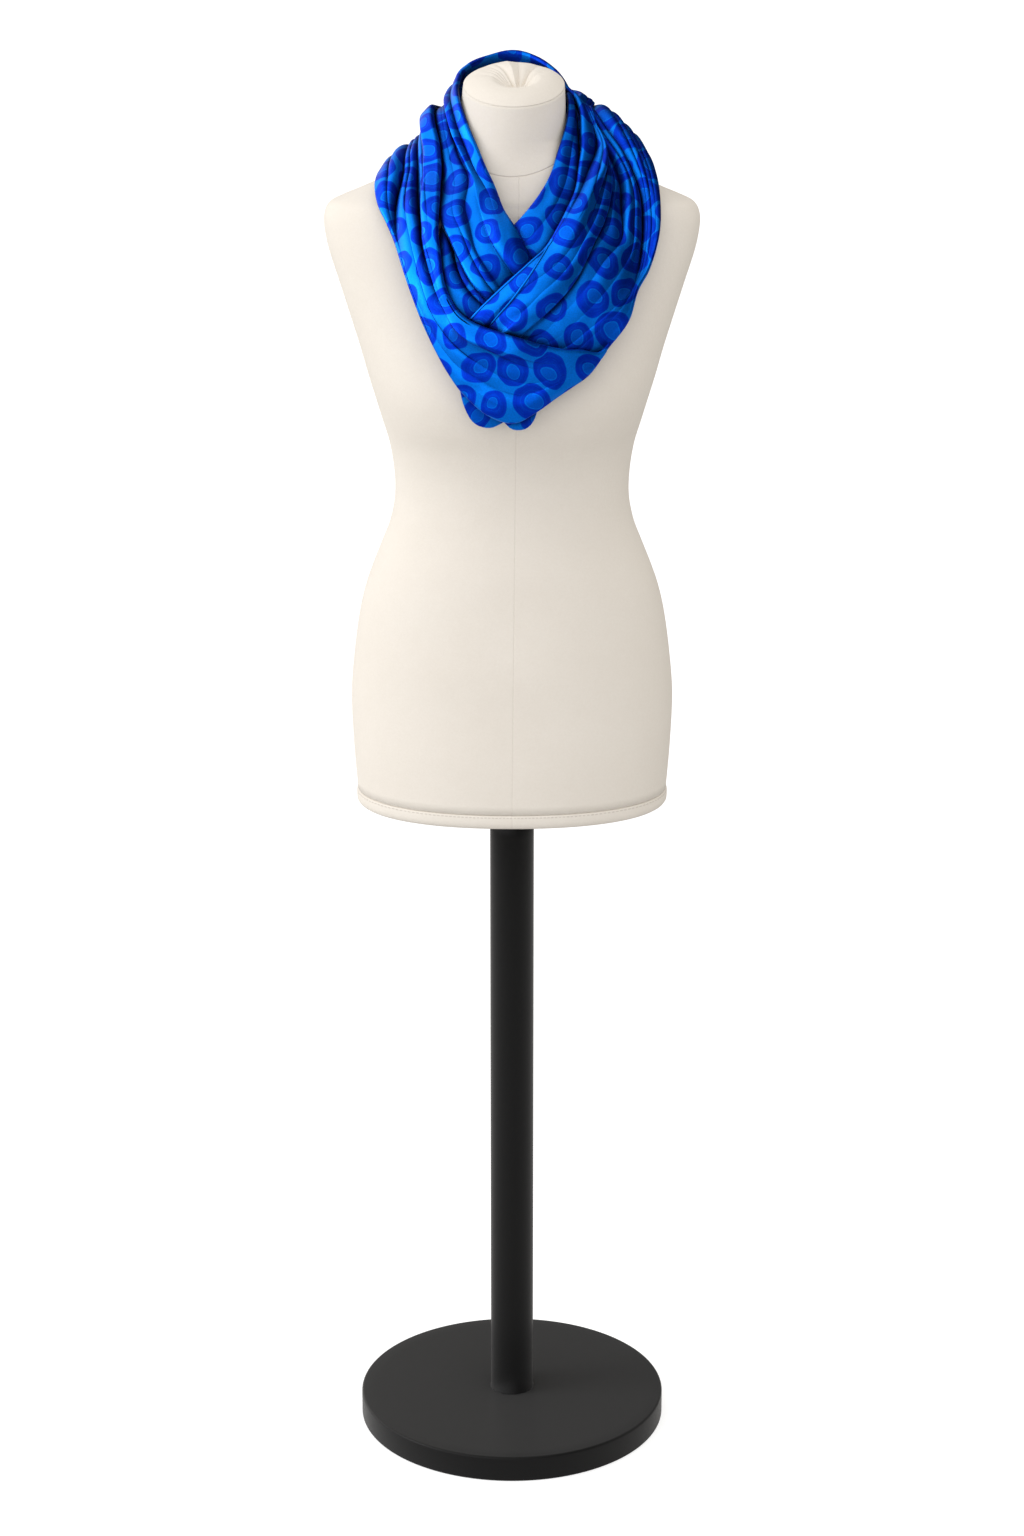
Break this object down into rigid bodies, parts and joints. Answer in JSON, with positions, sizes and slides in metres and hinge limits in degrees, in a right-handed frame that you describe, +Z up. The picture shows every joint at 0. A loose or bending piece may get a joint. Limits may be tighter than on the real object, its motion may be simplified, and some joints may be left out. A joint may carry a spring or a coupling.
{
  "type": "tube scarf on limbless dress form with pole stand",
  "caption": "Ring-patterned tube scarf wound twice round the neck of a limbless fabric-covered dress form on a round-based pole stand.",
  "frame": {"origin": "middle of the underside of the round base, on the floor", "axes": "+Z up along the pole, -Y the way the form faces, +X to the right of someone who faces the form"},
  "size_m": [0.386, 0.341, 1.5122],
  "materials": {
    "scarf_cloth": "light satin, bright blue ground with a repeat of deeper blue rings",
    "form_cover": "ivory stretch jersey over padding, matte",
    "stand_metal": "fine black powder coat"
  },
  "bodies": {
    "root": {"scarf_throat_strip": "scarf_cloth", "scarf_pouch_lining": "scarf_cloth", "scarf_inner_left": "scarf_cloth", "scarf_collar_back": "scarf_cloth", "scarf_outer_right": "scarf_cloth", "scarf_front_cross": "scarf_cloth", "scarf_outer_back": "scarf_cloth", "scarf_outer_left": "scarf_cloth", "scarf_pouch": "scarf_cloth", "scarf_tip_left": "scarf_cloth", "scarf_tip_right": "scarf_cloth", "form_torso": "form_cover", "form_neck_cap": "form_cover", "form_hem_band": "form_cover", "stand_pole": "stand_metal", "stand_base": "stand_metal"}
  },
  "joints": []
}
